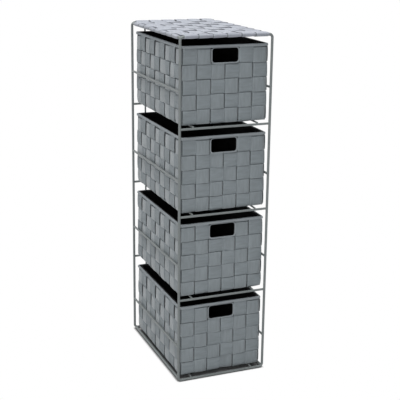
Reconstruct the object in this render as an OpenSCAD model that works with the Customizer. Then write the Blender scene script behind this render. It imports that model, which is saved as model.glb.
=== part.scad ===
// Slim storage tower: a welded wire frame with a woven strap top, and four
// woven strap baskets that slide on runners and pull out at the front.
// Millimetres. X is across the front, -Y is the front, Z is up, and the
// origin is on the floor under the middle of the tower.

/* [Frame] */
// Width between the centres of the two front posts
frame_w = 166; // [140:1:200]
// Depth between the centres of the front and back loops
frame_d = 250; // [220:1:300]
// Height from one basket level to the next
level_pitch = 153; // [135:1:180]
// Centre-line radius of the bends at the loops' corners
bend_r = 6; // [4:0.5:10]
// Height of a side guard above its level's rail
guard_h = 63; // [30:1:90]
// Distance from a post's centre to the runner and back stop beside it
runner_inset = 24; // [15:1:45]
// How far a runner's front end reaches past the centre of the front rail
runner_over = 1; // [0:0.1:1.5]
// Gap between the top of a back stop and the strap tail above it
stop_clear = 0.3; // [0.2:0.1:1]

/* [Wires] */
// Wire of the front and back loops and the side rails
loop_wire = 4.5; // [3.5:0.1:6]
// Wire of the shelf rails and side guards
rail_wire = 4; // [3:0.1:5]
// Wire of the runners and back stops
runner_wire = 3; // [2.5:0.1:4]
// Wire hidden in the baskets
basket_wire = 3; // [2:0.1:3.5]
// How far crossing wires sink into each other at a weld
weld_sink = 0.5; // [0.2:0.1:1]

/* [Straps] */
// Width of a strap
strap_w = 24.4; // [18:0.2:30]
// Thickness of a strap
strap_t = 1.2; // [0.8:0.1:1.6]
// Least gap between neighbouring straps
strap_gap = 0.4; // [0.2:0.1:3]
// Least gap between the straps that cross the top from side to side
cross_gap = 2.4; // [0.4:0.1:8]
// Stretch that those straps leave free at each end, from the loop's centre
top_end_gap = 11; // [5:0.5:25]
// Length of the strap tail turned under behind a top rail
tail_len = 28; // [15:1:40]
// Radius of the wrap's clearance round a top rail
wrap_gap = 0.1; // [0.05:0.05:0.3]

/* [Baskets] */
// Distance from the front loop's centre back to the baskets' fronts
front_inset = 5; // [4:0.5:15]
// Gap between a basket's side and the posts
side_clear = 1.5; // [1:0.1:5]
// Gap between a basket's back and the back stops
back_clear = 4.5; // [2:0.5:20]
// Gap between a basket's rim and the rail above it
rim_clear = 13.6; // [8:0.1:30]
// Gap between a basket's base and its runners
seat_gap = 0.3; // [0.2:0.1:0.5]
// Outer radius of a basket's upright corners
corner_r = 3.5; // [3:0.5:6]
// Height of the lowest hoop strap above the basket's base
hoop_lift = 2.4; // [1.5:0.1:5]

/* [Lining and tape] */
// Thickness of the lining
lining_t = 0.8; // [0.5:0.1:1.5]
// Gap between the lining and the hidden wires in the basket's edges
lining_clear = 0.3; // [0.1:0.1:1]
// Thickness of the binding and trim tape
tape_t = 0.6; // [0.4:0.1:1]
// Height of the rim binding on the outside
binding_h = 4.4; // [3:0.1:8]

/* [Handle] */
// Width of the handle hole
handle_w = 48; // [35:1:70]
// Height of the handle hole
handle_h = 24.6; // [18:0.1:40]
// Corner radius of the handle hole
handle_r = 5; // [2:0.5:9]
// Width of the tape that shows round the handle hole
trim_w = 2.6; // [1.5:0.1:5]

/* [Hidden] */
$fn = 64;
// Cuts run past the solid that they cut by this much
past = 1;

// Four baskets, numbered from the bottom
levels = 4;
shelf_levels = [for (k = [2:levels]) k];
all_levels = [for (k = [1:levels]) k];
sides = [["left", -1], ["right", 1]];

loop_r = loop_wire / 2;
rail_r = rail_wire / 2;
runner_r = runner_wire / 2;
bw_r = basket_wire / 2;

// Frame planes and heights
post_x = frame_w / 2;
front_y = -frame_d / 2;
back_y = frame_d / 2;
base_z = loop_r;
top_z = base_z + levels * level_pitch;
function level_z(k) = base_z + (k - 1) * level_pitch;
// A level's rails are the loops' own wire at the floor and thinner wire above
function level_rail_r(k) = k == 1 ? loop_r : rail_r;

// The side rails meet the loops in the middle of the corner bends
bend_in = bend_r * (1 - cos(45));
side_rail_x = post_x - bend_in;

// Runners cross on top of the rails; back stops stand against their inner side
runner_x = post_x - runner_inset;
function runner_z(k) = level_z(k) + level_rail_r(k) + runner_r - weld_sink;
stop_y = back_y - rail_r - runner_r + weld_sink;
wrap_r = loop_r + wrap_gap;
stop_top = top_z - wrap_r - strap_t - stop_clear;

// Basket envelope
basket_w = frame_w - loop_wire - 2 * side_clear;
basket_front = front_y + front_inset;
basket_back = stop_y - runner_r - back_clear;
basket_d = basket_back - basket_front;
basket_mid_y = (basket_front + basket_back) / 2;
basket_h = level_pitch - rim_clear - 2 * rail_r - runner_wire + weld_sink - seat_gap;
function basket_z(k) = runner_z(k) + runner_r + seat_gap;

// Layers of a basket's wall, counted inwards from the envelope
hoop_in = tape_t;
upright_in = hoop_in + strap_t;
lining_in = upright_in + strap_t;
wire_in = lining_in + bw_r;

// Columns of upright straps and rows of hoop straps
strap_space = strap_w + strap_gap;
across_w = basket_w - 2 * lining_in;
along_d = basket_d - 2 * lining_in;
cols_across = floor(across_w / strap_space);
cols_along = floor(along_d / strap_space);
pitch_across = across_w / cols_across;
pitch_along = along_d / cols_along;
hoop_zone = basket_h - hoop_lift - binding_h;
rows = floor(hoop_zone / strap_space);
wall_top = basket_h - tape_t;

// The lining rounds its upright corners and chamfers its bottom edges just enough
// to clear the wires that lie in them, and stops under the rim wire
lining_corner_r = (bw_r * (sqrt(2) + 1) + lining_clear) / (sqrt(2) - 1);
lining_chamfer = 2 * bw_r + sqrt(2) * (bw_r + lining_clear);
lining_base = 2 * strap_t;
base_wire_z = lining_base + bw_r;
rim_wire_z = wall_top - bw_r;
lining_top = rim_wire_z - bw_r;

// Handle hole, just under the rim binding
handle_top = basket_h - binding_h - tape_t;
handle_mid_z = handle_top - handle_h / 2;

// Top straps
top_cols_space = frame_w - 2 * bend_r;
top_cols = floor(top_cols_space / strap_space);
top_pitch_across = top_cols_space / top_cols;
top_rows_space = frame_d - 2 * top_end_gap;
top_rows = floor(top_rows_space / (strap_w + cross_gap));
top_pitch_along = top_rows_space / top_rows;

frame_colour = [0.5, 0.53, 0.54];
strap_colour = [0.45, 0.47, 0.48];
lining_colour = [0.04, 0.04, 0.045];
tape_colour = [0.52, 0.54, 0.55];
wire_colour = [0.35, 0.35, 0.36];

// ---- wires ----

// Straight wire of diameter d centred on [x, y], from z0 up to z1
module upright_wire(x, y, z0, z1, d) {
    translate([x, y, z0]) cylinder(d = d, h = z1 - z0);
}

// Straight wire along X through [y, z]
module cross_wire(y, z, x0, x1, d) {
    translate([x0, y, z]) rotate([0, 90, 0]) cylinder(d = d, h = x1 - x0);
}

// Straight wire along Y through [x, z]
module depth_wire(x, z, y0, y1, d) {
    translate([x, y0, z]) rotate([-90, 0, 0]) cylinder(d = d, h = y1 - y0);
}

// Closed wire rectangle in the XY plane, centre-line size w by h, rounded corners
module wire_rectangle(w, h, r, d) {
    for (s = [-1, 1]) {
        translate([s * w / 2, 0, 0]) rotate([90, 0, 0])
            cylinder(d = d, h = h - 2 * r, center = true);
        translate([0, s * h / 2, 0]) rotate([0, 90, 0])
            cylinder(d = d, h = w - 2 * r, center = true);
    }
    for (q = [[1, 1, 0], [-1, 1, 90], [-1, -1, 180], [1, -1, 270]])
        translate([q[0] * (w / 2 - r), q[1] * (h / 2 - r), 0]) rotate([0, 0, q[2]])
            rotate_extrude(angle = 90) translate([r, 0]) circle(d = d);
}

// ---- frame ----

module loop_at(y) {
    translate([0, y, (base_z + top_z) / 2]) rotate([90, 0, 0])
        wire_rectangle(frame_w, top_z - base_z, bend_r, loop_wire);
}

module front_loop() color(frame_colour) loop_at(front_y);

module back_loop() color(frame_colour) loop_at(back_y);

// Side rail between the loops, with its ends coped to their bends
module side_rail(side, z) {
    color(frame_colour) difference() {
        depth_wire(side * side_rail_x, z, front_y, back_y, loop_wire);
        loop_at(front_y);
        loop_at(back_y);
    }
}

// The four posts, for coping the wires that meet them
module posts() {
    for (x = [-post_x, post_x], y = [front_y, back_y])
        upright_wire(x, y, base_z + bend_r, top_z - bend_r, loop_wire);
}

module shelf_rail(k, y) {
    color(frame_colour) difference() {
        cross_wire(y, level_z(k), -post_x, post_x, rail_wire);
        posts();
    }
}

module side_guard(k, side) {
    color(frame_colour) difference() {
        depth_wire(side * post_x, level_z(k) + guard_h, front_y, back_y, rail_wire);
        posts();
    }
}

module level_rails(k) {
    for (y = [front_y, back_y])
        cross_wire(y, level_z(k), -post_x + bend_r, post_x - bend_r, 2 * level_rail_r(k));
}

module stop_wire(side) {
    upright_wire(side * runner_x, stop_y, base_z, stop_top, runner_wire);
}

// Upright wire behind the baskets, notched where it is welded to the back rails
module back_stop(side) {
    color(frame_colour) difference() {
        stop_wire(side);
        for (k = all_levels) level_rails(k);
    }
}

// Runner on the rails of level k, butted against the back stop
module runner(k, side) {
    color(frame_colour) difference() {
        depth_wire(side * runner_x, runner_z(k), front_y - runner_over, stop_y, runner_wire);
        level_rails(k);
        stop_wire(side);
    }
}

// ---- woven top ----

// Rounded bar of radius r with its ends centred at [+-half, 0]
module bar_outline(half, r) {
    square([2 * half, 2 * r], center = true);
    for (s = [-1, 1]) translate([s * half, 0]) circle(r = r);
}

// Outline of one top strap, with the rails' centres at [+-half, 0]:
// flat between them, round each rail and turned under as a tail
module top_strap_outline(half) {
    difference() {
        bar_outline(half, wrap_r + strap_t);
        bar_outline(half, wrap_r);
        translate([-half + tail_len, -wrap_r - strap_t - past])
            square([2 * (half - tail_len), strap_t + past + wrap_gap]);
    }
}

module top_straps_lengthwise() {
    color(strap_colour) for (i = [0:top_cols - 1])
        translate([(i - (top_cols - 1) / 2) * top_pitch_across, 0, top_z])
            rotate([90, 0, 90])
                linear_extrude(strap_w, center = true) top_strap_outline(frame_d / 2);
}

module top_straps_crosswise() {
    color(strap_colour) for (j = [0:top_rows - 1])
        translate([0, (j - (top_rows - 1) / 2) * top_pitch_along, top_z - bend_in])
            rotate([90, 0, 0])
                linear_extrude(strap_w, center = true) top_strap_outline(side_rail_x);
}

// ---- baskets ----

// Places a basket modelled with its base at z = 0 and its front at -basket_d / 2
module at_level(k) {
    translate([0, basket_mid_y, basket_z(k)]) children();
}

// Upright block whose walls lie a given distance inside the basket's envelope
module block(inset, r, z0, z1) {
    w = basket_w - 2 * inset;
    d = basket_d - 2 * inset;
    translate([0, 0, z0]) linear_extrude(z1 - z0)
        if (r > 0) {
            square([w - 2 * r, d], center = true);
            square([w, d - 2 * r], center = true);
            for (x = [-1, 1], y = [-1, 1])
                translate([x * (w / 2 - r), y * (d / 2 - r)]) circle(r = r);
        } else square([w, d], center = true);
}

// Rounded rectangle of the handle hole, grown by a margin
module handle_outline(margin) {
    r = handle_r + margin;
    w = handle_w + 2 * margin;
    h = handle_h + 2 * margin;
    square([w - 2 * r, h], center = true);
    square([w, h - 2 * r], center = true);
    for (x = [-1, 1], y = [-1, 1])
        translate([x * (w / 2 - r), y * (h / 2 - r)]) circle(r = r);
}

// Handle shape as a solid through the front wall, from depth d0 to d1 behind its face
module handle_prism(margin, d0, d1) {
    translate([0, -basket_d / 2 + d1, handle_mid_z]) rotate([90, 0, 0])
        linear_extrude(d1 - d0) handle_outline(margin);
}

module handle_cut() handle_prism(tape_t, -past, lining_in + lining_t + past);

module basket_hoop_straps(k) {
    color(strap_colour) at_level(k) difference() {
        for (row = [0:rows - 1]) {
            z = hoop_lift + row * strap_space;
            difference() {
                block(hoop_in, corner_r - hoop_in, z, z + strap_w);
                block(upright_in, corner_r - upright_in, z - past, z + strap_w + past);
            }
        }
        handle_cut();
    }
}

// Two legs and the run under the base that joins them, for one upright strap
module u_strap(half, base) {
    translate([-half, base]) square([2 * half, strap_t]);
    for (s = [-1, 1])
        translate([s > 0 ? half - strap_t : -half, base]) square([strap_t, wall_top - base]);
}

module basket_upright_straps(k) {
    color(strap_colour) at_level(k) difference() {
        union() {
            for (i = [0:cols_across - 1])
                translate([(i - (cols_across - 1) / 2) * pitch_across, 0, 0])
                    rotate([90, 0, 90]) linear_extrude(strap_w, center = true)
                        u_strap(basket_d / 2 - upright_in, 0);
            for (j = [0:cols_along - 1])
                translate([0, (j - (cols_along - 1) / 2) * pitch_along, 0])
                    rotate([90, 0, 0]) linear_extrude(strap_w, center = true)
                        u_strap(basket_w / 2 - upright_in, strap_t);
        }
        handle_cut();
    }
}

module basket_wire_ring(z) {
    translate([0, 0, z])
        wire_rectangle(basket_w - 2 * wire_in, basket_d - 2 * wire_in, basket_wire, basket_wire);
}

module basket_wire_frame(k) {
    color(wire_colour) at_level(k) {
        basket_wire_ring(base_wire_z);
        basket_wire_ring(rim_wire_z);
        for (x = [-1, 1], y = [-1, 1])
            upright_wire(x * (basket_w / 2 - wire_in), y * (basket_d / 2 - wire_in),
                         base_wire_z, rim_wire_z, basket_wire);
    }
}

// Box with rounded upright corners and chamfered bottom edges
module lining_block(inset, r, chamfer, z0, z1) {
    w = basket_w - 2 * inset;
    d = basket_d - 2 * inset;
    intersection() {
        block(inset, r, z0, z1);
        rotate([90, 0, 0]) linear_extrude(basket_d, center = true)
            chamfered(w, chamfer, z0, z1);
        rotate([90, 0, 90]) linear_extrude(basket_w, center = true)
            chamfered(d, chamfer, z0, z1);
    }
}

module chamfered(w, c, z0, z1) {
    polygon([[-w / 2, z0 + c], [-w / 2 + c, z0], [w / 2 - c, z0], [w / 2, z0 + c],
             [w / 2, z1], [-w / 2, z1]]);
}

module basket_lining(k) {
    color(lining_colour) at_level(k) difference() {
        lining_block(lining_in, lining_corner_r, lining_chamfer, lining_base, lining_top);
        lining_block(lining_in + lining_t, lining_corner_r - lining_t, lining_chamfer,
                     lining_base + lining_t, lining_top + past);
        handle_cut();
    }
}

// Tape folded over the rim: its inner skirt follows the lining's rounded corners
module basket_rim_binding(k) {
    skirt_in = wire_in + bw_r;
    corner_in = lining_in + lining_corner_r;
    color(tape_colour) at_level(k) difference() {
        block(0, corner_r, basket_h - binding_h, basket_h);
        block(skirt_in + tape_t, corner_in - skirt_in - tape_t, 0, basket_h + past);
        difference() {
            block(tape_t, corner_r - tape_t, 0, wall_top);
            block(skirt_in, corner_in - skirt_in, 0, wall_top + past);
        }
    }
}

// Tape folded through the handle hole: a sleeve with a flange on each face of the wall
module basket_handle_trim(k) {
    wall = lining_in + lining_t;
    color(tape_colour) at_level(k) difference() {
        union() {
            handle_prism(tape_t, 0, wall + tape_t);
            intersection() {
                for (d = [0, wall]) handle_prism(trim_w, d, d + tape_t);
                block(-past, 0, 0, basket_h - binding_h);
            }
        }
        handle_prism(0, -past, wall + tape_t + past);
    }
}

front_loop();
back_loop();
for (s = sides) {
    side_rail(s[1], top_z - bend_in);
    side_rail(s[1], base_z + bend_in);
    back_stop(s[1]);
    for (k = all_levels) {
        runner(k, s[1]);
        side_guard(k, s[1]);
    }
}
for (k = shelf_levels) {
    shelf_rail(k, front_y);
    shelf_rail(k, back_y);
}
top_straps_lengthwise();
top_straps_crosswise();
for (k = all_levels) {
    basket_hoop_straps(k);
    basket_upright_straps(k);
    basket_wire_frame(k);
    basket_lining(k);
    basket_rim_binding(k);
    basket_handle_trim(k);
}
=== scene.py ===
"""Slim storage tower: a welded wire frame with a woven strap top and four woven strap
baskets that slide out at the front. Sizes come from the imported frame, or are named real
sizes in millimetres."""
import math

import bpy
import numpy as np
from mathutils import Matrix, Vector


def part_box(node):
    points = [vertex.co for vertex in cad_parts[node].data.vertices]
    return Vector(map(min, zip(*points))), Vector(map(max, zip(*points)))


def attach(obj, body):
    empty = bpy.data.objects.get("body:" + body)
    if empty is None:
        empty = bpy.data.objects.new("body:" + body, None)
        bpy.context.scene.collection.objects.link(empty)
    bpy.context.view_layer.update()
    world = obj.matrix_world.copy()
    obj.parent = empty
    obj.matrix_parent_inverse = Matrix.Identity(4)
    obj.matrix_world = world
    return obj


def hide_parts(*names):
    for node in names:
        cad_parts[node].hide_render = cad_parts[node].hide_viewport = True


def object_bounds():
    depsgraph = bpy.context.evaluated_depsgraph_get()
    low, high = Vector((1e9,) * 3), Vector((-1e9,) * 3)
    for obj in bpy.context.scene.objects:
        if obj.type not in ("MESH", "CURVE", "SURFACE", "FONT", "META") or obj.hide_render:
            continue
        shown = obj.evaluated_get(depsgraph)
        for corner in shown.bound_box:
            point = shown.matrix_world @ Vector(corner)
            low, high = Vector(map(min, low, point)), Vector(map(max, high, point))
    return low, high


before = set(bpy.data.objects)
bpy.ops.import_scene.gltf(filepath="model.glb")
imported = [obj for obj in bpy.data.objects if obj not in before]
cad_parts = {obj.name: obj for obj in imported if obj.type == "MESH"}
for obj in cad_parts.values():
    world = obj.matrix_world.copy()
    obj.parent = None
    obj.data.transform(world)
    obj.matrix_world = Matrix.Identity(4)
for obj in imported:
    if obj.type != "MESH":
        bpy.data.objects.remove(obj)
cad_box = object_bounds()

MM = 0.001
LEVELS = (1, 2, 3, 4)

# ---- straps: mm, shares of 1 and counts ----
STRAP_W = 25.1
STRAP_T = 1.1
# a strap's cross-section: share of its half width, share of its half thickness
STRAP_SECTION = [(-1, 0), (-0.985, 0.6), (-0.93, 1), (-0.55, 1), (0, 1), (0.55, 1), (0.93, 1),
                 (0.985, 0.6), (1, 0), (0.985, -0.6), (0.93, -1), (0, -1), (-0.93, -1),
                 (-0.985, -0.6)]
EDGE_CURL = 0.3      # a strap's edges lie this much lower than its middle
LEAN = 0.35          # the lifted edge stands out by this much, and the other one lies in
RISE = 1.3           # how far a strap's middle swings out and in of the weave's mean plane
PILLOW = 0.45        # extra crown in the middle of a cell where a strap lies over
OVER_MARGIN = 0.9    # the strap above starts to dip this far inside its cell
TIGHT_DIP = 0.1      # a hoop dips close by one edge of an upright strap that lies over it,
FRONT_DIP = 2.2      # and this far off the other edge, which is the left one on the front.
SIDE_DIPS = (4.8, 4.0, 2.8, 2.4, 2.2)  # On the sides it is the one towards the front, row by row.
UNDER_MARGIN = -0.05  # the strap below is fully down this far outside its cell
UNEVEN = 0.14        # share by which the swing differs from crossing to crossing
WANDER = 0.2         # how far a strap strays sideways,
WANDER_RUN = 25.0    # over this length of it
WANDER_PAST = 30.0   # the strays are drawn to this far past a strap's end
CELL_STRAY = 0.3     # how far a crossing's dips stray along the strap
ROW_STRAY = 0.3      # how far a hoop lies off its row's height
PATTERN_RUN = 50.0   # a strap's bands and tones start anywhere in this range
RIM_LIFT = 0.25      # the top row's upright straps stand off further, over the rim wire
UNDER_TAPE = 0.75    # offset of a strap that comes out from under the rim tape and lies over
FOLD_R = 1.3         # bend of a strap round a basket's edges
BASE_RISE = 2.1      # mean plane of the base weave over the basket's lowest point
BASE_FLAT = 0.4      # the base weave swings this much less than the walls
HEM_RISE = 0.8       # lower edge of the lowest hoop over the basket's lowest point
HEM_TUCK = 1.9       # how far the lowest hoop's lower edge is drawn in
HOOP_ROWS = 5
COLS_ACROSS = 6
COLS_ALONG = 9
SEAM_COLUMN = 3      # a hoop's ends meet at this upright strap of the back
OTHER_WAY = (2,)     # levels whose basket is woven in the other checkerboard
FINE_STEP = 0.3      # a strap is sampled this finely where it dips,
COARSE_STEP = 2.8    # and this coarsely on stretches longer than FLAT_RUN
FLAT_RUN = 4.0

# ---- starts of the random draws; a basket's level is added, except for the top ----
HOOP_SEED, UPRIGHT_SEED, LINING_SEED, TAPE_SEED, STITCH_SEED = 100, 200, 300, 400, 500
TOP_SEED = 7

# ---- woven top ----
TOP_STRAP_W = 24.4
TOP_ROWS = 8
TOP_PARITY = 0       # 0 or 1: which of the two checkerboards the top is woven in
TOP_SAG = 2.65       # the woven field lies this far below the crests over the front rail
TOP_UNEVEN = 0.3     # share by which the top's swing differs from crossing to crossing
TOP_CALM = 20.0      # this far inside the left rail a crosswise strap's edges lie flat
TOP_END = 4.0        # least reach of a strap's rise to the rail, inside its last cell
TAIL_LEN = 28.0      # length of a strap's end under the top

# ---- lining, rim tape and handle trim ----
LINING_T = 0.5
LINING_INSET = 4.3   # middle of the lining, from the basket's outside
LINING_BEND = 9.2    # corner bend of the lining, which passes inside the corner wires
LINING_FLOOR = 4.6   # middle of the lining's base, over the basket's lowest point
HEM_BEND = 5.4       # bend of the lining between wall and base
SLACK = 0.5          # how far the lining's waves stand in from its walls and base
SLACK_WAVES = (13, 21)  # run of the two waves, for each radian, along the two diagonals
SLACK_LEAN = 0.6     # the waves turn by up to this many radians over SLACK_RUN of height
SLACK_RUN = 20
SLACK_START = 6      # the waves start up to this many radians on
SLACK_FADE = 12      # below the hole's top edge the waves reach their full depth over this
BASE_STEP = 6.2      # the mesh of the lining's base closes in by this much, BASE_RINGS times
BASE_RINGS = 10
TAPE_T = 0.6
TAPE_H = 4.4
TAPE_BEND = 3.5      # corner bend of the rim tape
TAPE_CREST = 2.7     # the tape reaches this far over the rim
TAPE_WAVE = 0.12     # how far its lower edges wave up and down
ROLL_IN = 6.3        # the lining's roll over the rim wire ends this far in
HOLE_BEND = 5.0      # corner bend of the handle hole
TRIM_EDGE = 2.6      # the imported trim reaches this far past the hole
TRIM_FLANGE = 1.8
TRIM_SHORT = 0.55    # what is left of the flange under the rim tape
TRIM_PROUD = 0.05    # the flange lies this far off the basket's outside
TRIM_T = 0.6
TRIM_DEPTH = 1.4     # the trim turns in this far, from the basket's outside
HOLE_DEPTH = 4.4     # depth of the handle hole, to the inside of the lining
STITCH_PITCH = 3.6
STITCH_LEN = 2.7
STITCH_R = 0.28
STITCH_SIDES = 6
STITCH_SLANT = 0.12  # one end of a stitch lies up to this much higher than the other
STITCH_DROP = 3.1    # the seam's distance below the rim

# ---- finishes: sRGB shares of 1 ----
STRAP_GREY = (0.475, 0.505, 0.52)
# painted light: the top's straps are painted paler than the baskets' straps, standing in for the
# stronger light on the top
TOP_GREY_PAINTED_LIT = (0.56, 0.575, 0.61)
TAPE_GREY = (0.53, 0.555, 0.57)
THREAD_GREY = (0.56, 0.58, 0.59)
LINING_BLACK = (0.055, 0.055, 0.06)
PAINT_GREY = (0.445, 0.465, 0.465)
WIRE_GREY = (0.30, 0.31, 0.31)

# ---- patterns of the finishes ----
PLAIN_GREY = (0.2, 0.2, 0.2, 1)  # what a group's colour is before a material sets it
NOISE = (0.3, 0.7)   # most of a noise's values lie between these
EDGE_SHADE_SPAN = (0.02, 0.35)  # mm from a strap's lifted edge: the painted shade of its side face and of the slot beside it fades out between these
EDGE_HIGHLIGHT_SPAN = (1.2, 2.6)  # mm from a strap's edge: a paler band, a painted highlight, fades out between these


def span(node):
    """Lowest and highest corner of a CAD node, in mm."""
    low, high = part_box(node)
    return np.array(low) / MM, np.array(high) / MM


# ======== materials ========

def linear(colour):
    """A colour as a shader takes it, from its sRGB shares."""
    return tuple(c / 12.92 if c <= 0.04045 else ((c + 0.055) / 1.055) ** 2.4 for c in colour) + (1,)


def add(tree, kind, inputs=(), **settings):
    """Adds a node. Its inputs are numbers, colours or other nodes' outputs."""
    node = tree.nodes.new(kind)
    for key, value in settings.items():
        setattr(node, key, value)
    for key, value in dict(inputs).items():
        if isinstance(value, bpy.types.NodeSocket):
            tree.links.new(value, node.inputs[key])
        else:
            node.inputs[key].default_value = value
    return node


def maths(tree, operation, *values):
    return add(tree, "ShaderNodeMath", enumerate(values), operation=operation).outputs[0]


def swept(tree, value, low, high, to_low, to_high, smooth=False):
    """A value taken from one range to another, held at the ends."""
    names = ("Value", "From Min", "From Max", "To Min", "To Max")
    node = add(tree, "ShaderNodeMapRange", zip(names, (value, low, high, to_low, to_high)))
    if smooth:
        node.interpolation_type = "SMOOTHSTEP"
    return node.outputs["Result"]


def new_group(name, sockets, results):
    """An empty node group. sockets holds (name, kind, plain value), results (name, kind)."""
    tree = bpy.data.node_groups.new(name, "ShaderNodeTree")
    for label, kind, value in sockets:
        socket = tree.interface.new_socket(label, in_out="INPUT", socket_type="NodeSocket" + kind)
        socket.default_value = value
    for label, kind in results:
        tree.interface.new_socket(label, in_out="OUTPUT", socket_type="NodeSocket" + kind)
    return tree, tree.nodes.new("NodeGroupInput"), tree.nodes.new("NodeGroupOutput")


def scaled(tree, value, factor):
    """A colour or a vector times a number."""
    return add(tree, "ShaderNodeVectorMath", {0: value, "Scale": factor}, operation="SCALE").outputs[0]


def vector(tree, operation, *values):
    return add(tree, "ShaderNodeVectorMath", enumerate(values), operation=operation).outputs[0]


def noise(tree, place, scale, detail):
    """Noise over a place, from about 0 to 1."""
    values = {"Vector": place, "Scale": scale, "Detail": detail}
    return add(tree, "ShaderNodeTexNoise", values).outputs[0]


def varied(tree, value, share):
    """A factor round 1 that a noise's value takes down and up by a share."""
    low = maths(tree, "SUBTRACT", 1, share)
    high = maths(tree, "ADD", 1, share)
    return swept(tree, value, *NOISE, low, high)


def ribs(tree, turns):
    """Round ribs, one in each turn: 0 in the furrows and 1 on the crests."""
    return maths(tree, "ABSOLUTE", maths(tree, "SINE", maths(tree, "MULTIPLY", turns, math.pi)))


def ribbed_strap_group():
    """Ribbed webbing: ribs across the strap, staggered yarns in them, a painted highlight near its
    edges, painted shade on the side at its lifted edge, and bands where ribs bunch. It reads each
    point's place on its strap, in mm; the lifted edge is on the negative side."""
    tree, given, result = new_group(
        "ribbed_webbing",
        [("Colour", "Color", PLAIN_GREY), ("Rib pitch", "Float", 1.3), ("Yarn pitch", "Float", 1.0),
         ("Half width", "Float", STRAP_W / 2), ("Bands", "Float", 0.1)],
        [("Colour", "Color"), ("Roughness", "Float"), ("Height", "Float")])
    place = add(tree, "ShaderNodeAttribute", attribute_name="weave").outputs["Vector"]
    parts = add(tree, "ShaderNodeSeparateXYZ", {0: place}).outputs
    along, across = parts[0], parts[1]
    turns = maths(tree, "DIVIDE", along, given.outputs["Rib pitch"])
    rib = maths(tree, "POWER", ribs(tree, turns), 0.6)
    odd = maths(tree, "MULTIPLY", maths(tree, "FLOOR", turns), 0.5)
    yarns = maths(tree, "ADD", maths(tree, "DIVIDE", across, given.outputs["Yarn pitch"]), odd)
    knit = maths(tree, "MULTIPLY", rib, swept(tree, ribs(tree, yarns), 0, 1, 0.72, 1))
    inside = maths(tree, "SUBTRACT", given.outputs["Half width"], maths(tree, "ABSOLUTE", across))
    from_lifted = maths(tree, "ADD", given.outputs["Half width"], across)
    # painted shade: the side face at the lifted edge, and the slot beside it, are darkened to as
    # little as 0.22 of the colour
    edge = swept(tree, from_lifted, *EDGE_SHADE_SPAN, 0, 1, smooth=True)
    # painted highlight: a paler band just inside both edges of the strap
    edge_highlight = maths(tree, "MULTIPLY", edge, swept(tree, inside, *EDGE_HIGHLIGHT_SPAN, 1, 0, smooth=True))
    # bands of a few ribs, and a slow change of tone along each strap
    band = noise(tree, vector(tree, "MULTIPLY", place, (0.27, 0.05, 1)), 1.0, 3.0)
    batch = noise(tree, vector(tree, "MULTIPLY", place, (0.02, 0.01, 1)), 1.0, 1.0)
    tone = varied(tree, band, given.outputs["Bands"])
    tone = maths(tree, "MULTIPLY", tone, swept(tree, batch, *NOISE, 0.96, 1.04))
    # of these, the last two are painted light: a paler highlight band near the edges, and shade at the
    # lifted edge
    for effect, least, most in ((knit, 0.8, 1.05), (edge_highlight, 1, 1.12), (edge, 0.22, 1)):
        tone = maths(tree, "MULTIPLY", tone, swept(tree, effect, 0, 1, least, most))
    tree.links.new(scaled(tree, given.outputs["Colour"], tone), result.inputs["Colour"])
    tree.links.new(swept(tree, knit, 0, 1, 0.7, 0.5), result.inputs["Roughness"])
    height = maths(tree, "ADD", knit, swept(tree, band, *NOISE, -0.3, 0.3))
    tree.links.new(maths(tree, "MULTIPLY", height, edge), result.inputs["Height"])
    return tree


def plain_cloth_group():
    """A plain woven cloth or tape: threads over and under on every side, with a slow drift."""
    tree, given, result = new_group(
        "plain_cloth",
        [("Colour", "Color", PLAIN_GREY), ("Thread pitch", "Float", 0.8), ("Drift", "Float", 0.06)],
        [("Colour", "Color"), ("Height", "Float")])
    place = add(tree, "ShaderNodeTexCoord").outputs["Object"]
    per_metre = maths(tree, "DIVIDE", math.pi / MM, given.outputs["Thread pitch"])
    parts = add(tree, "ShaderNodeSeparateXYZ", {0: scaled(tree, place, per_metre)}).outputs
    waves = [maths(tree, "SINE", part) for part in parts]
    pairs = [maths(tree, "MULTIPLY", waves[a], waves[b]) for a, b in ((0, 1), (1, 2), (2, 0))]
    weave = maths(tree, "ADD", maths(tree, "ADD", pairs[0], pairs[1]), pairs[2])
    tone = maths(tree, "MULTIPLY", varied(tree, noise(tree, place, 45.0, 4.0), given.outputs["Drift"]),
                 swept(tree, weave, -1, 1, 0.85, 1.08))
    tree.links.new(scaled(tree, given.outputs["Colour"], tone), result.inputs["Colour"])
    tree.links.new(weave, result.inputs["Height"])
    return tree


def powder_coat_group():
    """Powder coat: a fine orange peel, and patches a little duller or paler."""
    tree, given, result = new_group(
        "powder_coat",
        [("Colour", "Color", PLAIN_GREY), ("Peel size", "Float", 900.0), ("Patchy", "Float", 0.06)],
        [("Colour", "Color"), ("Roughness", "Float"), ("Height", "Float")])
    place = add(tree, "ShaderNodeTexCoord").outputs["Object"]
    patch = noise(tree, place, 60.0, 5.0)
    tone = varied(tree, patch, given.outputs["Patchy"])
    tree.links.new(scaled(tree, given.outputs["Colour"], tone), result.inputs["Colour"])
    tree.links.new(swept(tree, patch, *NOISE, 0.3, 0.46), result.inputs["Roughness"])
    tree.links.new(noise(tree, place, given.outputs["Peel size"], 2.0), result.inputs["Height"])
    return tree


def empty_tree(owner):
    """The node tree of a new material or world, with nothing in it."""
    owner.use_nodes = True
    owner.node_tree.nodes.clear()
    return owner.node_tree


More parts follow.
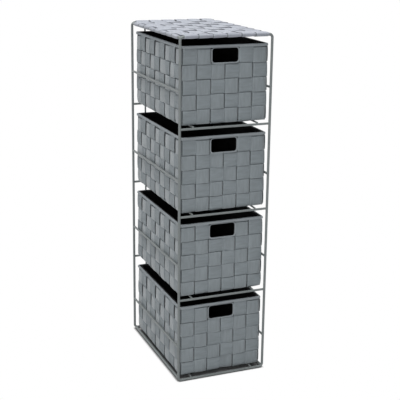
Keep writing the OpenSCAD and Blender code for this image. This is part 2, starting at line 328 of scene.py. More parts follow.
def finish(name, group, values, bump_mm, roughness=None, specular=0.5, sheen=0.0):
    """A material whose colour and relief come from a node group."""
    material = bpy.data.materials.new(name)
    tree = empty_tree(material)
    pattern = add(tree, "ShaderNodeGroup", node_tree=group)
    for key, value in values.items():
        pattern.inputs[key].default_value = value
    bump = add(tree, "ShaderNodeBump", {"Strength": 1.0, "Distance": bump_mm * MM,
                                        "Height": pattern.outputs["Height"]})
    skin = add(tree, "ShaderNodeBsdfPrincipled", {
        "Base Color": pattern.outputs["Colour"], "Normal": bump.outputs["Normal"],
        "Specular IOR Level": specular, "Sheen Weight": sheen, "Sheen Roughness": 0.5})
    if roughness is None:
        tree.links.new(pattern.outputs["Roughness"], skin.inputs["Roughness"])
    else:
        skin.inputs["Roughness"].default_value = roughness
    out = add(tree, "ShaderNodeOutputMaterial")
    tree.links.new(skin.outputs[0], out.inputs["Surface"])
    return material


def paint(piece, material):
    if piece.material_slots:
        for held in piece.material_slots:
            held.material = material
    else:
        piece.data.materials.append(material)


webbing = ribbed_strap_group()
cloth = plain_cloth_group()
coat = powder_coat_group()
upright_strap = finish("upright_webbing", webbing, {"Colour": linear(STRAP_GREY)}, 0.2)
hoop_strap = finish("hoop_webbing", webbing, {"Colour": linear(STRAP_GREY)}, 0.2, sheen=0.28)
# painted light: the top's webbing gets a paler grey for the light that falls on the top
top_strap = finish("top_webbing_painted_lit", webbing, {"Colour": linear(TOP_GREY_PAINTED_LIT)}, 0.2, sheen=0.1)
rim_tape_cloth = finish("rim_tape_cloth", cloth, {"Colour": linear(TAPE_GREY)}, 0.05, roughness=0.7)
lining_cloth = finish("lining_cloth", cloth, {"Colour": linear(LINING_BLACK), "Drift": 0.3},
                      0.06, roughness=0.9, specular=0.2)
seam_thread = finish("seam_thread", cloth, {"Colour": linear(THREAD_GREY), "Thread pitch": 0.3},
                     0.03, roughness=0.6)
frame_paint = finish("frame_powder_coat", coat, {"Colour": linear(PAINT_GREY)}, 0.02, specular=0.3)
wire_paint = finish("basket_wire_coat", coat, {"Colour": linear(WIRE_GREY)}, 0.02)


def settle(piece, material, body, slot, *replaced):
    """Gives a piece its finish and its body, and hides the CAD nodes that it stands for; slot is not
    used.
    """
    paint(piece, material)
    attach(piece, body)
    if replaced:
        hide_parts(*replaced)


# ======== bent lines ========

class BentLine:
    """A line in a plane through given corners, each rounded, measured along its length.
    Its outward side is on the right of its direction."""

    def __init__(self, corners, radii):
        corners = [np.array(c, float) for c in corners]
        self.parts = []
        start = corners[0]
        for here, after, r in zip(corners[1:-1], corners[2:], radii):
            way_in = (here - start) / np.linalg.norm(here - start)
            way_out = (after - here) / np.linalg.norm(after - here)
            turn = math.atan2(way_in[0] * way_out[1] - way_in[1] * way_out[0], way_in @ way_out)
            back = r * math.tan(abs(turn) / 2)
            entry = here - way_in * back
            self.add_straight(start, entry)
            self.parts.append((abs(turn) * r, entry, way_in, math.copysign(1 / r, turn)))
            start = here + way_out * back
        self.add_straight(start, corners[-1])
        self.length = sum(part[0] for part in self.parts)

    def add_straight(self, a, b):
        size = np.linalg.norm(b - a)
        if size > 1e-6:
            self.parts.append((size, a, (b - a) / size, 0.0))

    def at(self, s):
        """Points and directions at lengths s."""
        points = np.zeros((len(s), 2))
        ways = np.zeros((len(s), 2))
        begin = 0.0
        for i, (size, a, way, curve) in enumerate(self.parts):
            last = i == len(self.parts) - 1
            inside = (s >= begin) & ((s < begin + size) | last)
            t = (s[inside] - begin)[:, None]
            side = np.array([-way[1], way[0]])
            if curve:
                turned = t * curve
                points[inside] = a + (np.sin(turned) * way + (1 - np.cos(turned)) * side) / curve
                ways[inside] = np.cos(turned) * way + np.sin(turned) * side
            else:
                points[inside] = a + t * way
                ways[inside] = way
            begin += size
        return points, ways

    def length_at(self, point, low=0.0, high=None):
        """The length at which the line comes closest to a point."""
        s = np.arange(low, high or self.length, 0.25)
        points, _ = self.at(s)
        return s[np.argmin(((points - point) ** 2).sum(1))]


def ease(t):
    return t * t * (3 - 2 * t)


# ======== meshes ========

def mesh_piece(name, points, faces, weave=None):
    """A new smooth object from points in mm. weave holds each point's place on its strap."""
    mesh = bpy.data.meshes.new(name)
    mesh.from_pydata((np.asarray(points) * MM).tolist(), [], faces)
    mesh.polygons.foreach_set("use_smooth", [True] * len(mesh.polygons))
    if weave is not None:
        attribute = mesh.attributes.new("weave", "FLOAT_VECTOR", "POINT")
        attribute.data.foreach_set("vector", np.asarray(weave, np.float32).ravel())
    mesh.update()
    piece = bpy.data.objects.new(name, mesh)
    bpy.context.scene.collection.objects.link(piece)
    return piece


def faces_inwards(loops, ring):
    """Whether quads laid in the order of the loops face into the tube."""
    loops = loops - loops.mean((0, 1))
    after = np.roll(loops, -1, axis=0) if ring else loops[1:]
    before = loops if ring else loops[:-1]
    a, b = before, np.roll(before, -1, axis=1)
    c, d = np.roll(after, -1, axis=1), after
    volume = (a * np.cross(b, c)).sum() + (a * np.cross(c, d)).sum()
    if not ring:
        for loop, way in ((loops[0], -1), (loops[-1], 1)):
            fan = np.cross(loop[1:-1], loop[2:])
            volume += way * (loop[0] * fan).sum()
    return volume < 0


class Sewing:
    """Collects tubes of points into one mesh."""

    def __init__(self):
        self.points, self.faces, self.weave = [], [], []
        self.count = 0

    def tube(self, loops, weave=None, ring=False):
        """Joins successive loops (runs x loop x 3) into a closed skin, or a closed ring."""
        runs, around = loops.shape[:2]
        grid = self.count + np.arange(runs * around).reshape(runs, around)
        if ring:
            grid = np.vstack([grid, grid[:1]])
        beside = np.roll(grid, -1, axis=1)
        faces = np.stack([grid[:-1], beside[:-1], beside[1:], grid[1:]], -1).reshape(-1, 4).tolist()
        if not ring:
            faces.append(grid[0][::-1].tolist())
            faces.append(grid[-1].tolist())
        if faces_inwards(loops, ring):
            faces = [face[::-1] for face in faces]
        self.faces += faces
        self.points.append(loops.reshape(-1, 3))
        self.weave.append(np.zeros((runs * around, 3)) if weave is None else weave.reshape(-1, 3))
        self.count += runs * around

    def piece(self, name):
        return mesh_piece(name, np.concatenate(self.points), self.faces, np.concatenate(self.weave))


# ======== straps ========

def run_lengths(knots, total):
    """Lengths at which a strap is sampled: fine where it dips, coarse where it is flat."""
    stops = sorted({0.0, total, *(k[0] for k in knots)})
    lengths = [0.0]
    for a, b in zip(stops, stops[1:]):
        step = FINE_STEP if b - a < FLAT_RUN else COARSE_STEP
        count = max(1, math.ceil((b - a) / step))
        lengths += list(np.linspace(a, b, count + 1)[1:])
    return np.array(lengths)


def swing(s, knots):
    """Offset from the mean plane at lengths s, eased from knot to knot."""
    at = np.array([k[0] for k in knots])
    value = np.array([k[1] for k in knots])
    over = np.array([k[2] for k in knots], bool)
    i = np.clip(np.searchsorted(at, s, side="right") - 1, 0, len(at) - 2)
    t = np.clip((s - at[i]) / np.maximum(at[i + 1] - at[i], 1e-6), 0, 1)
    on_cell = over[i] & over[i + 1] & (value[i] == value[i + 1])
    crown = np.where(on_cell, PILLOW * np.sin(np.pi * t), 0)
    return value[i] + (value[i + 1] - value[i]) * ease(t) + crown


def crossing_knots(crossings, rng, first, last, ground=0.0, least_end=None, width=STRAP_W,
                   uneven=UNEVEN):
    """Knots of a strap's swing (length, offset, over): the given first and last ones, and
    two for each crossing. crossings holds (length at its centre, over or under, extra), and
    may end with the margins within which a strap that lies over dips, first and last."""
    crossings = sorted(crossings)
    knots = list(first)
    for k, (centre, over, extra, *dips) in enumerate(crossings):
        dips = dips if over and dips else [OVER_MARGIN if over else UNDER_MARGIN] * 2
        stray = rng.uniform(-CELL_STRAY, CELL_STRAY)
        height = (RISE + extra) * (1 + uneven * rng.uniform(-1, 1)) * (1 if over else -1)
        margins = [dip + stray for dip in dips]
        if least_end is not None and k == 0:
            margins[0] = max(margins[0], least_end)
        if least_end is not None and k == len(crossings) - 1:
            margins[1] = max(margins[1], least_end)
        knots.append((centre - width / 2 + margins[0], height + ground, over))
        knots.append((centre + width / 2 - margins[1], height + ground, over))
    kept = []
    for knot in knots + list(last):
        if not kept or (knot[0] > kept[-1][0] + 0.05 and knot[0] <= last[-1][0]):
            kept.append(knot)
    return kept


def lay_strap(sewing, line, knots, place, wide, middle, rng, lifted=0, tuck=0.0, cut=None,
              width=STRAP_W, calm_end=0.0):
    """Adds one strap that follows a bent line. place turns plane points into space, wide is
    the direction of the strap's width, middle its place in that direction, and cut the
    stretch of its length that is laid. lifted is the side, -1 or 1, whose edge stands out,
    calm_end the length at the strap's end where neither does, and tuck is how far the edge
    at -1 is drawn in."""
    s = run_lengths(knots, line.length)
    if cut is not None:
        s = np.concatenate([[cut[0]], s[(s > cut[0] + 0.1) & (s < cut[1] - 0.1)], [cut[1]]])
    points, ways = line.at(s)
    out = np.stack([ways[:, 1], -ways[:, 0]], 1)
    centre = points + out * swing(s, knots)[:, None]
    stray_at = np.arange(0, line.length + WANDER_PAST, WANDER_RUN)
    stray = np.interp(s, stray_at, rng.uniform(-WANDER, WANDER, len(stray_at)))
    space = place(centre)
    normal = place(out)
    start = rng.uniform(0, PATTERN_RUN)
    loops = np.zeros((len(s), len(STRAP_SECTION), 3))
    weave = np.zeros_like(loops)
    raised = np.where(s < line.length - calm_end, lifted, 0)
    for j, (v, h) in enumerate(STRAP_SECTION):
        lies_in = EDGE_CURL * v ** 2 - LEAN * raised * v + tuck * min(v, 0) ** 2
        loops[:, j] = (space + np.array(wide, float) * (middle + stray + v * width / 2)[:, None]
                       + normal * (h * STRAP_T / 2 - lies_in)[:, None])
        # the pattern is drawn for the baskets' straps, whatever this strap's width
        across = np.where(raised, -raised * v, abs(v)) * STRAP_W / 2
        weave[:, j] = np.stack([s, across, np.full(len(s), start)], 1)
    sewing.tube(loops, weave)


def in_xy(p):
    return np.stack([p[:, 0], p[:, 1], np.zeros(len(p))], 1)


def in_yz(p):
    return np.stack([np.zeros(len(p)), p[:, 0], p[:, 1]], 1)


def in_xz(p):
    return np.stack([p[:, 0], np.zeros(len(p)), p[:, 1]], 1)


# ======== baskets ========

def basket_sizes(level):
    """Measures of one basket, in mm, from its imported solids."""
    low, high = span(f"basket_{level}_upright_straps")
    lining_low, lining_high = span(f"basket_{level}_lining")
    _, hoop_high = span(f"basket_{level}_hoop_straps")
    trim_low, trim_high = span(f"basket_{level}_handle_trim")
    tape_low, tape_high = span(f"basket_{level}_rim_binding")
    pitch_across = (lining_high[0] - lining_low[0]) / COLS_ACROSS
    pitch_along = (lining_high[1] - lining_low[1]) / COLS_ALONG
    pitch_up = (hoop_high[2] - low[2] - HEM_RISE - STRAP_W) / (HOOP_ROWS - 1)
    return {
        "turn": int(level in OTHER_WAY),
        "left": low[0], "right": high[0], "front": low[1], "back": high[1],
        "base": low[2], "top": high[2],
        "skin_low": tape_low, "skin_high": tape_high, "rim": tape_high[2],
        "hole": (trim_low[0] + TRIM_EDGE, trim_high[0] - TRIM_EDGE,
                 trim_low[2] + TRIM_EDGE, trim_high[2] - TAPE_T),
        "across": [lining_low[0] + (i + 0.5) * pitch_across for i in range(COLS_ACROSS)],
        "along": [lining_low[1] + (j + 0.5) * pitch_along for j in range(COLS_ALONG)],
        "rows": [hoop_high[2] - STRAP_W / 2 - r * pitch_up for r in range(HOOP_ROWS)],
    }


def over_front(size, i, row):
    """Whether an upright strap lies over a hoop at the front or back. Columns are counted
    from the left or the front, rows from the top, both from 1."""
    return (i + row + size["turn"]) % 2 == 0


def over_left(size, j, row):
    return (j + row + size["turn"]) % 2 == 1


def over_right(size, j, row):
    return (j + row + size["turn"]) % 2 == 0


def over_base(size, i, j):
    """Whether the strap from side to side is the outer one under the base."""
    return (i + j + size["turn"]) % 2 == 0


def hoop_straps(level, size):
    """The level straps round a basket; the top one stops at the handle hole."""
    rng = np.random.default_rng(HOOP_SEED + level)
    sewing = Sewing()
    left, right, front, back = size["left"], size["right"], size["front"], size["back"]
    seam = size["across"][SEAM_COLUMN - 1]
    line = BentLine([(seam, back), (left, back), (left, front), (right, front), (right, back),
                     (seam, back)], [FOLD_R] * 4)
    near, half, far = line.length / 4, line.length / 2, line.length * 3 / 4
    hole = [line.length_at((x, front), near, far) for x in size["hole"][:2]]
    for row in range(1, HOOP_ROWS + 1):
        crossings = []
        for i, x in enumerate(size["across"], 1):
            over = not over_front(size, i, row)
            at = line.length_at((x, front), near, far)
            crossings.append((at, over, 0.0, TIGHT_DIP, FRONT_DIP))
            if x != seam:
                reach = (0, near) if x < seam else (far, None)
                crossings.append((line.length_at((x, back), *reach), over, 0.0))
        for j, y in enumerate(size["along"], 1):
            over = not over_left(size, j, row)
            dip = SIDE_DIPS[row - 1]
            crossings.append((line.length_at((left, y), 0, half), over, 0.0, dip, TIGHT_DIP))
            over = not over_right(size, j, row)
            crossings.append((line.length_at((right, y), half), over, 0.0, TIGHT_DIP, dip))
        over = not over_front(size, SEAM_COLUMN, row)
        lift = RISE if over else -RISE
        held = STRAP_W / 2 - (OVER_MARGIN if over else UNDER_MARGIN)
        knots = crossing_knots(crossings, rng, [(0.0, lift, over), (held, lift, over)],
                               [(line.length - held, lift, over), (line.length, lift, over)])
        z = size["rows"][row - 1] + rng.uniform(-ROW_STRAY, ROW_STRAY)
        cuts = [(0.0, hole[0]), (hole[1], line.length)] if row == 1 else [None]
        tuck = HEM_TUCK if row == HOOP_ROWS else 0.0
        for cut in cuts:
            lay_strap(sewing, line, knots, in_xy, (0, 0, 1), z, rng, lifted=-1, tuck=tuck, cut=cut)
    settle(sewing.piece(f"basket_{level}_woven_hoops"), hoop_strap, f"basket_{level}", "strap",
           f"basket_{level}_hoop_straps")


def upright_knots(line, size, walls, under, ends, base, rng):
    """Knots of a strap that runs down one wall, under the base and up the other. walls holds
    the rule of over and under for the first wall and for the last, ends those walls' places,
    and under the crossings at the base."""
    centre, reach = (ends[0] + ends[1]) / 2, (ends[1] - ends[0]) / 2
    half = line.length / 2
    crossings = [(line.length_at((c, base)), over, -BASE_FLAT) for c, over in under]
    for row, z in enumerate(size["rows"], 1):
        for side, over in zip((-1, 1), walls):
            stretch = (0, half) if side < 0 else (half, None)
            at = line.length_at((centre + side * reach, z), *stretch)
            crossings.append((at, over(row), RIM_LIFT if row == 1 and over(row) else 0.0))
    # under the tape the strap lies flat
    first, last = (UNDER_TAPE if over(1) else -RISE for over in walls)
    return crossing_knots(crossings, rng, [(0.0, first, False), (TAPE_H, first, False)],
                          [(line.length - TAPE_H, last, False), (line.length, last, False)])


def upright_straps(level, size):
    """The straps that run down one wall, under the base and up the opposite wall."""
    rng = np.random.default_rng(UPRIGHT_SEED + level)
    sewing = Sewing()
    top, base = size["top"], size["base"] + BASE_RISE
    hole_left, hole_right, hole_low, _ = size["hole"]
    front, back, left, right = size["front"], size["back"], size["left"], size["right"]
    line = BentLine([(front, top), (front, base), (back, base), (back, top)], [FOLD_R] * 2)
    for i, x in enumerate(size["across"], 1):
        walls = [lambda row: over_front(size, i, row)] * 2
        under = [(y, not over_base(size, i, j)) for j, y in enumerate(size["along"], 1)]
        knots = upright_knots(line, size, walls, under, (front, back), base, rng)
        cut = (top - hole_low, line.length) if hole_left < x < hole_right else None
        lay_strap(sewing, line, knots, in_yz, (1, 0, 0), x, rng, lifted=-1, cut=cut)
    line = BentLine([(left, top), (left, base), (right, base), (right, top)], [FOLD_R] * 2)
    for j, y in enumerate(size["along"], 1):
        walls = [lambda row: over_left(size, j, row), lambda row: over_right(size, j, row)]
        under = [(x, over_base(size, i, j)) for i, x in enumerate(size["across"], 1)]
        knots = upright_knots(line, size, walls, under, (left, right), base, rng)
        lay_strap(sewing, line, knots, in_xz, (0, -1, 0), -y, rng, lifted=1)
    settle(sewing.piece(f"basket_{level}_woven_uprights"), upright_strap, f"basket_{level}", "strap",
           f"basket_{level}_upright_straps")


def rounded_path(low, high, radius, counts, front_shares=None, bends=7):
    """Points and outward directions round a rectangle with rounded corners, anticlockwise
    from its lower right bend. bends are the steps of a bend, and counts the points between
    two bends; front_shares instead places those of the lower side, from -1 at its left end
    to 1."""
    (x0, y0), (x1, y1) = low, high
    bend_centres = [((x1 - radius, y0 + radius), -90), ((x1 - radius, y1 - radius), 0),
                    ((x0 + radius, y1 - radius), 90), ((x0 + radius, y0 + radius), 180)]
    points, outward = [], []
    for corner, ((cx, cy), start) in enumerate(bend_centres):
        for b in range(bends + 1):
            angle = math.radians(start + 90 * b / bends)
            outward.append((math.cos(angle), math.sin(angle)))
            points.append((cx + radius * math.cos(angle), cy + radius * math.sin(angle)))
        (cx, cy), start = bend_centres[(corner + 1) % 4]
        angle = math.radians(start)
        here = np.array(points[-1])
        there = np.array((cx + radius * math.cos(angle), cy + radius * math.sin(angle)))
        shares = np.linspace(-1, 1, counts[corner % 2] + 2)[1:-1]
        if corner == 3 and front_shares is not None:
            shares = front_shares
        for share in shares:
            points.append(tuple(here + (there - here) * (share + 1) / 2))
            outward.append(outward[-1])
    return np.array(points), np.array(outward)


def rounded_ring(size, inset, radius, counts, front_shares=None):
    """The same round a basket, seen from above, at an inset from its outside."""
    low, high = size["skin_low"][:2] + inset, size["skin_high"][:2] - inset
    return rounded_path(low, high, radius, counts, front_shares)


def lining(level, size):
    """The black cloth box: up the walls, over the rim wire and caught under the rim tape.
    Its front has the handle hole."""
    rng = np.random.default_rng(LINING_SEED + level)
    rim, floor = size["rim"], size["base"] + LINING_FLOOR
    hole_left, hole_right, hole_low, hole_high = size["hole"]
    # rows from the rim to the base: inset, height, corner bend
    rows = [(2.3, rim - 0.75, 3.0), (3.4, rim - 0.3, 4.4), (4.8, rim - 0.35, 5.9),
            (5.9, rim - 1.1, 6.9), (ROLL_IN, rim - 2.4, 7.3), (ROLL_IN - 0.2, rim - 4.0, 7.4),
            (LINING_INSET + 0.5, hole_high + 0.1, 8.9)]
    walls = [hole_high - 6, hole_high - 12, hole_high - 18, hole_low - 0.1]
    walls += list(np.linspace(hole_low - 0.1, floor + HEM_BEND, 14)[1:])
    rows += [(LINING_INSET, z, LINING_BEND) for z in walls]
    for turn in (22.5, 45, 67.5, 90):
        a = math.radians(turn)
        inset, z = LINING_INSET + HEM_BEND * (1 - math.cos(a)), floor + HEM_BEND * (1 - math.sin(a))
        rows.append((inset, z, LINING_BEND * (1 - 0.25 * turn / 90)))
    depth = LINING_INSET + HEM_BEND
    for k in range(1, BASE_RINGS + 1):
        rows.append((depth + k * BASE_STEP, floor, max(1.0, LINING_BEND * 0.75 - 0.6 * k)))
    half = size["skin_high"][0] - LINING_INSET - LINING_BEND
    shares = [*np.linspace(-0.9, 0.9, 19), (hole_left + 0.1) / half, (hole_right - 0.1) / half]
    # the cloth lies a little slack: long shallow waves, none of them through the straps
    lean = rng.uniform(-SLACK_LEAN, SLACK_LEAN, 2)
    phase = rng.uniform(0, SLACK_START, 2)
    rings = []
    for inset, z, bend in rows:
        points, outward = rounded_ring(size, inset, bend, (34, 22), sorted(shares))
        turns = [(points[:, 0] + side * points[:, 1]) / run + z * lean[w] / SLACK_RUN + phase[w]
                 for w, (side, run) in enumerate(zip((1, -1), SLACK_WAVES))]
        slack = SLACK * (2 + (np.sin(turns[0]) + np.sin(turns[1]))) / 2
        heights = np.full(len(points), z)
        if inset == LINING_INSET:
            points = points - outward * (slack * min(1, (hole_high - z) / SLACK_FADE))[:, None]
        elif inset > depth:
            heights = heights + slack
        rings.append(np.column_stack([points, heights]))
    around = len(rings[0])
    faces = []
    for k in range(len(rings) - 1):
        here, below = k * around, (k + 1) * around
        for a in range(around):
            b = (a + 1) % around
            x, y, z = (rings[k][a] + rings[k + 1][b]) / 2
            if not (hole_left < x < hole_right and hole_low < z < hole_high and y < 0):
                faces.append((here + a, here + b, below + b, below + a))
    faces.append(tuple((len(rings) - 1) * around + a for a in range(around)))
    piece = mesh_piece(f"basket_{level}_lining_cloth", np.concatenate(rings), faces)
    thick = piece.modifiers.new("cloth_thickness", "SOLIDIFY")
    thick.thickness = LINING_T * MM
    thick.offset = 0
    settle(piece, lining_cloth, f"basket_{level}", "lining", f"basket_{level}_lining")


def rim_tape(level, size):
    """The grey tape sewn round the rim, and its row of stitches."""
    rng = np.random.default_rng(TAPE_SEED + level)
    rim = size["rim"]
    points, outward = rounded_ring(size, 0.0, TAPE_BEND, (44, 28))
    lift = TAPE_WAVE * np.sin(np.cumsum(rng.uniform(0.3, 1.3, len(points))))
    # the tape's section, inset and drop: up the outside, over the crest, and back inside
    section = [(0.25, TAPE_H), (0.05, TAPE_H - 0.15), (0, TAPE_H - 0.5), (0, 2.4), (0.05, 1.2),
               (0.35, 0.45), (1.0, 0.06), (1.9, 0), (TAPE_CREST - 0.2, 0.05), (TAPE_CREST, 0.3),
               (TAPE_CREST - 0.2, 0.55), (1.9, TAPE_T), (1.2, 0.7), (0.8, 1.0), (TAPE_T, 1.6),
               (TAPE_T, TAPE_H - 0.5), (TAPE_T - 0.1, TAPE_H - 0.1)]
    loops = np.zeros((len(points), len(section), 3))
    for k, (inset, drop) in enumerate(section):
        loops[:, k, :2] = points - outward * inset
        loops[:, k, 2] = rim - drop + lift * (drop > 1.5)
    sewing = Sewing()
    sewing.tube(loops, ring=True)
    settle(sewing.piece(f"basket_{level}_rim_tape"), rim_tape_cloth, f"basket_{level}", "binding",
           f"basket_{level}_rim_binding")
    rim_stitches(level, size, points, outward)


def rim_stitches(level, size, points, outward):
    """Short raised stitches along the tape, each a bead that dives in at both ends."""
    rng = np.random.default_rng(STITCH_SEED + level)
    closed = np.vstack([points, points[:1]])
    steps = np.linalg.norm(np.diff(closed, axis=0), axis=1)
    lengths = np.concatenate([[0], np.cumsum(steps)])
    facing = np.vstack([outward, outward[:1]])
    count = int(lengths[-1] // STITCH_PITCH)
    # share of a stitch's length, and in shares of its radius its thickness and its lift
    shape = [(-0.5, 0.25, -0.3), (-0.32, 0.9, 0.05), (0, 1, 0.15), (0.32, 0.9, 0.05),
             (0.5, 0.25, -0.3)]
    sewing = Sewing()
    for n in range(count):
        middle = (n + 0.5) * lengths[-1] / count
        slant = rng.uniform(-STITCH_SLANT, STITCH_SLANT)
        loops = np.zeros((len(shape), STITCH_SIDES, 3))
        for k, (share, fat, out) in enumerate(shape):
            at = middle + share * STITCH_LEN
            where = np.array([np.interp(at, lengths, closed[:, a]) for a in (0, 1)])
            way = np.array([np.interp(at, lengths, facing[:, a]) for a in (0, 1)])
            z = size["rim"] - STITCH_DROP + slant * share
            for c in range(STITCH_SIDES):
                angle = math.radians(360 / STITCH_SIDES * c)
                push = (out + fat * math.cos(angle)) * STITCH_R
                loops[k, c] = (*(where + way * push), z + fat * STITCH_R * math.sin(angle))
        sewing.tube(loops)
    settle(sewing.piece(f"basket_{level}_rim_stitches"), seam_thread, f"basket_{level}", "binding")


def handle_trim(level, size):
    """The tape folded through the handle hole: a channel swept round its rounded edge."""
    left, right, low, high = size["hole"]
    skin = size["skin_low"][1]
    outer, inner = -TRIM_PROUD, TRIM_DEPTH
    path, facing = rounded_path((left, low), (right, high), HOLE_BEND, (4, 9), bends=8)
    # under the rim tape the flange is cut short
    flange = TRIM_FLANGE - (TRIM_FLANGE - TRIM_SHORT) * np.clip(facing[:, 1], 0, 1) ** 2
    # section: share of the flange, distance past the hole's edge, depth from the skin
    t = TRIM_T
    tape = [(1, 0, outer), (1, 0, outer - 0.7 * t), (1, -0.25, outer - t), (0, 0.5, outer - t),
            (0, -0.1, outer - 0.6 * t), (0, -0.45, outer + 0.35), (0, -0.45, inner - 0.35),
            (0, -0.1, inner), (0, 0.1, inner), (0, 0.12, outer + 0.5), (0, 0.5, outer + 0.02)]
    # behind it the cloth of the lining covers the rest of the wall's thickness
    band = [(0, -0.15, inner - 0.5), (0, 0.1, inner - 0.5), (0, 0.1, HOLE_DEPTH - 0.5),
            (0, 0.5, HOLE_DEPTH - 0.05), (1, 0, HOLE_DEPTH - 0.05), (1, 0, HOLE_DEPTH + 0.45),
            (0, 0.4, HOLE_DEPTH + 0.45), (0, 0, HOLE_DEPTH + 0.3), (0, -0.15, HOLE_DEPTH)]
    for name, section, material, slot, *replaced in (
            ("handle_tape", tape, rim_tape_cloth, "binding", f"basket_{level}_handle_trim"),
            ("handle_facing", band, lining_cloth, "lining")):
        loops = np.zeros((len(path), len(section), 3))
        for k, (share, past, depth) in enumerate(section):
            reach = share * flange + past
            loops[:, k, 0] = path[:, 0] + facing[:, 0] * reach
            loops[:, k, 1] = skin + depth
            loops[:, k, 2] = path[:, 1] + facing[:, 1] * reach
        sewing = Sewing()
        sewing.tube(loops, ring=True)
        settle(sewing.piece(f"basket_{level}_{name}"), material, f"basket_{level}", slot, *replaced)


# ======== woven top ========

def over_top(i, j):
    """Whether the strap from front to back lies over, counted from the front left corner."""
    return (i + j) % 2 == TOP_PARITY


def wrapped_strap(sewing, near, far, top, under, sag, crossings, place, wide, middle, rng, lifted,
                  calm=0.0):
    """A strap over the top whose ends wrap round two opposite rails and end in short tails.
    calm is the stretch inside the near rail where its edges lie flat."""
    skin = STRAP_T / 2
    fold = (top - under) / 2 - skin
    line = BentLine([(far - TAIL_LEN, under + skin), (far - skin, under + skin),
                     (far - skin, top - skin), (near + skin, top - skin),
                     (near + skin, under + skin), (near + TAIL_LEN, under + skin)], [fold] * 4)
    wrap_end = TAIL_LEN - skin - fold + math.pi * fold
    flat_start = far - skin - fold
    laid = [(wrap_end + flat_start - centre, over, 0.0) for centre, over in crossings]
    knots = crossing_knots(laid, rng, [(0.0, 0.0, False), (wrap_end, 0.0, False)],
                           [(line.length - wrap_end, 0.0, False), (line.length, 0.0, False)],
                           ground=-sag, least_end=TOP_END, width=TOP_STRAP_W, uneven=TOP_UNEVEN)
    calm_end = wrap_end + calm if calm else 0.0
    lay_strap(sewing, line, knots, place, wide, middle, rng, lifted=lifted, width=TOP_STRAP_W,
              calm_end=calm_end)


def woven_top():
    rng = np.random.default_rng(TOP_SEED)
    long_low, long_high = span("top_straps_lengthwise")
    cross_low, cross_high = span("top_straps_crosswise")
    half = TOP_STRAP_W / 2
    columns = np.linspace(long_low[0] + half, long_high[0] - half, COLS_ACROSS)
    rows = np.linspace(cross_low[1] + half, cross_high[1] - half, TOP_ROWS)
    cross_sag = TOP_SAG - (long_high[2] - cross_high[2])
    lengthwise, crosswise = Sewing(), Sewing()
    for i, x in enumerate(columns, 1):
        crossings = [(y, over_top(i, j)) for j, y in enumerate(rows, 1)]
        wrapped_strap(lengthwise, long_low[1], long_high[1], long_high[2], long_low[2], TOP_SAG,
                      crossings, in_yz, (1, 0, 0), x, rng, lifted=0 if i == 1 else -1)
    for j, y in enumerate(rows, 1):
        crossings = [(x, not over_top(i, j)) for i, x in enumerate(columns, 1)]
        wrapped_strap(crosswise, cross_low[0], cross_high[0], cross_high[2], cross_low[2], cross_sag,
                      crossings, in_xz, (0, -1, 0), -y, rng, lifted=1, calm=TOP_CALM)
    for sewing, way in ((lengthwise, "lengthwise"), (crosswise, "crosswise")):
        settle(sewing.piece(f"top_woven_{way}"), top_strap, "frame", "strap", f"top_straps_{way}")


def coat_wires():
    """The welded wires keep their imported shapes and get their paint."""
    for name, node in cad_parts.items():
        paint(node, wire_paint if name.startswith("basket") else frame_paint)


# ======== camera, light, floor ========

# Camera in the tower's frame, mm and degrees, found from the frame's corners
CAMERA_AT = (-627.1, -1552.1, 785.6)
CAMERA_TURN = 22.189
CAMERA_DIP = 16.256
CAMERA_ROLL = 0.655
LENS_MM = 84.33
SENSOR_MM = 36

# Floor, in metres, greys and shares of open sky: white in the open, with painted shade under the
# object
FLOOR_HALF = 15
FLOOR_GREY = (0.62, 0.62, 0.62, 1)   # as light that falls on the object meets it
PAINTED_SHADE_GREY = (0.25, 0.25, 0.25, 1)   # the painted shade, where little sky reaches the floor
SHADE_REACH = 0.025                  # what stands nearer than this takes sky from a point
FOOT_EDGE = 0.003                    # from the footprint's inside to its outside
SKY_INSIDE, SKY_OUTSIDE = 0.5, 0.15  # with less sky than this a point gets the full painted shade, and with this much more it is white
SKY_FADE = 0.35                      # and with this much more it is white


def make_camera():
    turn, dip, roll = (math.radians(a) for a in (CAMERA_TURN, CAMERA_DIP, CAMERA_ROLL))
    ahead = Vector((math.sin(turn) * math.cos(dip), math.cos(turn) * math.cos(dip), -math.sin(dip)))
    right = Vector((math.cos(turn), -math.sin(turn), 0))
    up = right.cross(ahead)
    right, up = (right * math.cos(roll) + up * math.sin(roll),
                 up * math.cos(roll) - right * math.sin(roll))
    data = bpy.data.cameras.new("camera")
    data.lens = LENS_MM
    data.sensor_width = SENSOR_MM
    data.clip_end = 100
    camera = bpy.data.objects.new("camera", data)
    turned = Matrix((right, up, -ahead)).transposed().to_4x4()
    camera.matrix_world = Matrix.Translation(Vector(CAMERA_AT) * MM) @ turned
    bpy.context.scene.collection.objects.link(camera)
    bpy.context.scene.camera = camera


def area_light(name, at, aim, size, power):
    """A white lamp; places and sizes in metres, power in watts."""
    data = bpy.data.lights.new(name, "AREA")
    data.shape = "RECTANGLE"
    data.size, data.size_y = size
    data.energy = power
    light = bpy.data.objects.new(name, data)
    light.location = at
    light.rotation_euler = (Vector(aim) - Vector(at)).to_track_quat("-Z", "Y").to_euler()
    bpy.context.scene.collection.objects.link(light)


def blended(tree, share, first, second):
    """A mix of two shaders, from the first at a share of 0 to the second at 1."""
    return add(tree, "ShaderNodeMixShader", {0: share, 1: first.outputs[0], 2: second.outputs[0]})


def seen_directly(tree):
    """1 for camera, glossy and transmission rays, which show the white backdrop."""
    path = tree.nodes.new("ShaderNodeLightPath")
    seen = maths(tree, "MAXIMUM", path.outputs["Is Camera Ray"], path.outputs["Is Glossy Ray"])
    return maths(tree, "MAXIMUM", seen, path.outputs["Is Transmission Ray"])


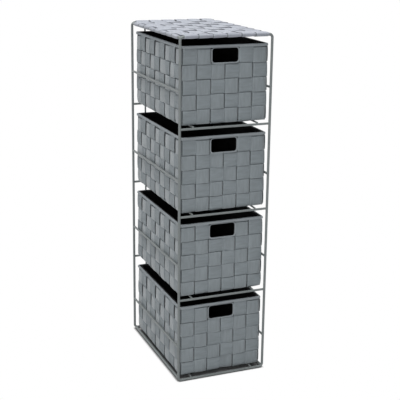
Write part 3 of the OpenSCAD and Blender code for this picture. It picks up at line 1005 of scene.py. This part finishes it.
def make_light():
    area_light("key_light", at=(-0.8, -1.5, 0.4), aim=(0, 0, 0.2), size=(0.8, 0.6), power=8.5)
    area_light("top_light", at=(-0.25, 0.1, 3.2), aim=(0, 0, 0.3), size=(2.5, 2.5), power=126)
    world = bpy.data.worlds.new("studio")
    bpy.context.scene.world = world
    tree = empty_tree(world)
    white = add(tree, "ShaderNodeBackground", {"Color": (1, 1, 1, 1), "Strength": 1.0})
    sky = add(tree, "ShaderNodeBackground", {"Color": (0.95, 0.97, 1, 1), "Strength": 0.32})
    seen = blended(tree, seen_directly(tree), sky, white)
    add(tree, "ShaderNodeOutputWorld", {"Surface": seen.outputs[0]})


def make_floor():
    corners = [(-1, -1), (1, -1), (1, 1), (-1, 1)]
    floor = mesh_piece("floor", [(x * FLOOR_HALF / MM, y * FLOOR_HALF / MM, 0) for x, y in corners],
                       [(0, 1, 2, 3)])
    material = bpy.data.materials.new("pale_floor_painted_shade")
    tree = empty_tree(material)
    matt = add(tree, "ShaderNodeBsdfDiffuse", {"Color": FLOOR_GREY})
    # painted shade: a darker grey that the camera sees where the floor lies close under the object
    painted_shade = add(tree, "ShaderNodeBsdfDiffuse", {"Color": PAINTED_SHADE_GREY})
    white = add(tree, "ShaderNodeEmission", {"Strength": 1.0})
    # how far a point lies outside the tower's footprint, in metres
    place = add(tree, "ShaderNodeTexCoord").outputs["Object"]
    beyond = vector(tree, "SUBTRACT", vector(tree, "ABSOLUTE", place), (*cad_box[1][:2], 1))
    beyond = vector(tree, "MAXIMUM", beyond, (0, 0, 0))
    apart = add(tree, "ShaderNodeVectorMath", {0: beyond}, operation="LENGTH").outputs["Value"]
    # in the open the floor is white, and close under the object it gets painted shade, more readily
    # inside the footprint
    sky = add(tree, "ShaderNodeAmbientOcclusion", {"Distance": SHADE_REACH}, samples=8).outputs["AO"]
    full_shade_sky = swept(tree, apart, 0, FOOT_EDGE, SKY_INSIDE, SKY_OUTSIDE)
    painted_shade_fade = swept(tree, sky, full_shade_sky, maths(tree, "ADD", full_shade_sky, SKY_FADE), 0, 1)
    seen = blended(tree, seen_directly(tree), matt, blended(tree, painted_shade_fade, painted_shade, white))
    add(tree, "ShaderNodeOutputMaterial", {"Surface": seen.outputs[0]})
    floor.data.materials.append(material)


# ======== build ========

make_camera()
make_light()
make_floor()
coat_wires()
woven_top()
for level in LEVELS:
    size = basket_sizes(level)
    hoop_straps(level, size)
    upright_straps(level, size)
    lining(level, size)
    rim_tape(level, size)
    handle_trim(level, size)

bpy.context.scene.view_settings.view_transform = "Standard"
